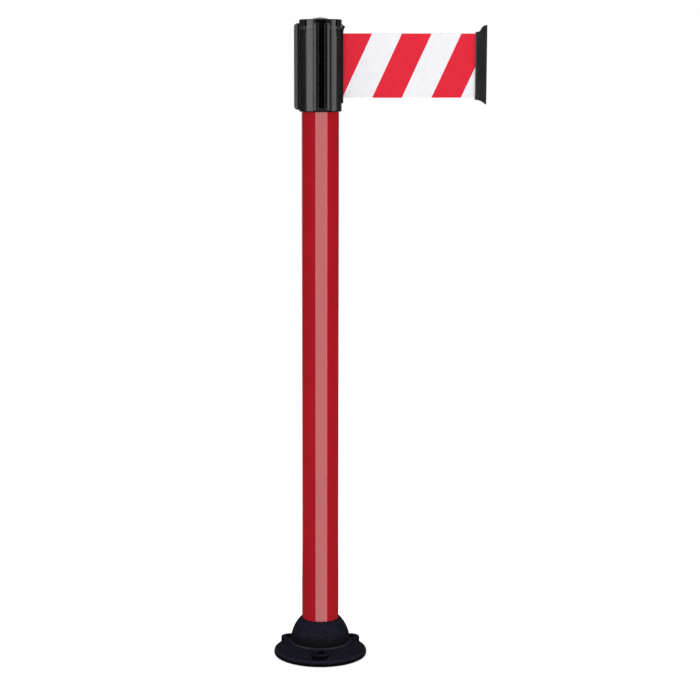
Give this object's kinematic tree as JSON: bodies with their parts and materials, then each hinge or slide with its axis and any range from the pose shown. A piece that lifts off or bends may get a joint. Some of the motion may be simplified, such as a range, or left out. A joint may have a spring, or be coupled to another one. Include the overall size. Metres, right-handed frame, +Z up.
{
  "type": "retractable belt barrier post",
  "caption": "Free-standing crowd-control post: glossy tube on a domed screw-down base, with a multi-way head, a spring-rewound striped belt and an end clip that hooks into a neighbouring post.",
  "frame": {"origin": "centre of the base's underside, on the floor and on the tube's axis", "axes": "+Z up along the tube; +X the way the belt is pulled out; -Y the front receiver and the front screw lug"},
  "size_m": [0.3378, 0.152, 1.0332],
  "materials": {
    "tube": "gloss",
    "base": "matt enamel",
    "head": "satin",
    "inner_plastic": "matt",
    "plug": "satin",
    "spool": "matt",
    "bush": "matt",
    "barrel": "satin",
    "steel": "zinc plated",
    "spring_steel": "blued",
    "clip": "satin",
    "belt_red": "woven webbing",
    "belt_white": "woven webbing"
  },
  "bodies": {
    "post": {"base": "base", "foot_plug": "inner_plastic", "base_bolt": "steel", "base_washer": "steel", "captive_nut": "steel", "post_tube": "tube", "head_adapter": "inner_plastic", "grub_screws": "steel", "spring_barrel": "barrel", "power_spring": "spring_steel", "barrel_lid": "barrel", "lower_bush": "bush", "head_housing": "head", "receiver_front": "head", "receiver_left": "head", "receiver_back": "head", "belt_outlet": "head", "outlet_guides": "steel", "top_plate": "inner_plastic", "plate_screws": "steel", "upper_bush": "bush", "head_cap": "head", "cap_screw": "steel", "cap_plug": "plug"},
    "spool": {"spindle": "steel", "spool_core": "spool", "spool_top_flange": "spool", "spool_bottom_flange": "spool", "drive_pin": "steel", "belt_roll": "belt_red", "spring_arbor": "steel", "circlip": "spring_steel"},
    "belt_end": {"belt_strap": "belt_red", "clip_body": "clip", "clip_cover": "clip", "belt_rod": "steel", "clip_screws": "steel"}
  },
  "joints": [
    {"name": "belt_pull", "type": "slide", "parent": "post", "child": "belt_end", "axis": [1, 0, 0], "range_m": [-0.2085, 2.72], "stiffness_N_per_m": 1.4, "springref_m": -4.3, "deforming": ["belt_strap"]},
    {"name": "spool_spin", "type": "hinge", "parent": "post", "child": "spool", "pos_m": [0, 0, 0.9585], "axis": [0, 0, 1], "range_deg": [-720, 9360]}
  ],
  "couplings": [
    {"joint": "spool_spin", "follows": "belt_pull", "rad_per_m": 60}
  ]
}
